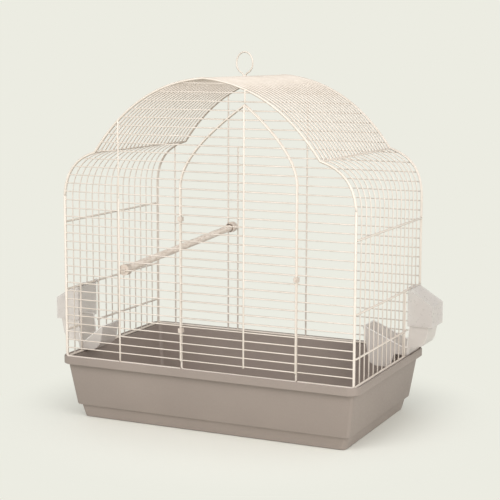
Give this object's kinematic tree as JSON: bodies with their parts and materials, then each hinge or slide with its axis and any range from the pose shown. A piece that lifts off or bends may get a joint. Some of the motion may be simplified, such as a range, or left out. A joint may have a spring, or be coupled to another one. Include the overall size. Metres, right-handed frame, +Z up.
{
  "type": "bird cage",
  "caption": "Bird cage of fine wire with a rounded roof, a pointed front door, feeders in both sides and a deep plastic tray.",
  "frame": {"origin": "centre of the cage's bounding box, on the ground", "axes": "+Z up, -Y towards the front with the door, +X to the right as seen from the front"},
  "size_m": [0.594, 0.328, 0.599],
  "materials": {
    "cream_wire": "satin powder coat",
    "taupe_plastic": "satin moulded",
    "clear_plastic": "clear",
    "cup_plastic": "translucent white",
    "clip_plastic": "moulded",
    "perch_plastic": "rough"
  },
  "bodies": {
    "tray": {"base_tray": "taupe_plastic"},
    "cage": {"front_left_panel": "cream_wire", "front_right_panel": "cream_wire", "front_upper_left_panel": "cream_wire", "front_upper_right_panel": "cream_wire", "door_frame": "cream_wire", "door_hinge_clip_lower": "clip_plastic", "door_hinge_clip_upper": "clip_plastic", "back_grille": "cream_wire", "left_side_grille": "cream_wire", "right_side_grille": "cream_wire", "left_shoulder_grille": "cream_wire", "right_shoulder_grille": "cream_wire", "roof_grille": "cream_wire", "perch": "perch_plastic", "perch_cap_front": "clip_plastic", "perch_cap_back": "clip_plastic"},
    "door": {"front_door": "cream_wire", "door_catch": "clip_plastic"},
    "ring": {"hanging_ring": "cream_wire"},
    "cup_left": {"feeder_cup_left": "cup_plastic"},
    "cup_right": {"feeder_cup_right": "cup_plastic"},
    "hood_left": {"feeder_hood_left": "clear_plastic"},
    "hood_right": {"feeder_hood_right": "clear_plastic"}
  },
  "joints": [
    {"name": "cage_lift", "type": "slide", "parent": "tray", "child": "cage", "axis": [0, 0, 1], "range_m": [0, 0.12]},
    {"name": "door_hinge", "type": "hinge", "parent": "cage", "child": "door", "pos_m": [-0.0385, -0.1582, 0.1033], "axis": [0, 0, -1], "range_deg": [0, 120]},
    {"name": "ring_swing", "type": "hinge", "parent": "cage", "child": "ring", "pos_m": [0, -0.0066, 0.558], "axis": [1, 0, 0], "range_deg": [-78, 78]},
    {"name": "cup_lift_left", "type": "slide", "parent": "cage", "child": "cup_left", "axis": [0, 0, 1], "range_m": [0, 0.028]},
    {"name": "cup_lift_right", "type": "slide", "parent": "cage", "child": "cup_right", "axis": [0, 0, 1], "range_m": [0, 0.028]},
    {"name": "hood_hinge_left", "type": "hinge", "parent": "cage", "child": "hood_left", "pos_m": [-0.252, -0.083, 0.214], "axis": [0, 1, 0], "range_deg": [0, 85]},
    {"name": "hood_hinge_right", "type": "hinge", "parent": "cage", "child": "hood_right", "pos_m": [0.252, 0.107, 0.214], "axis": [0, -1, 0], "range_deg": [0, 85]}
  ]
}
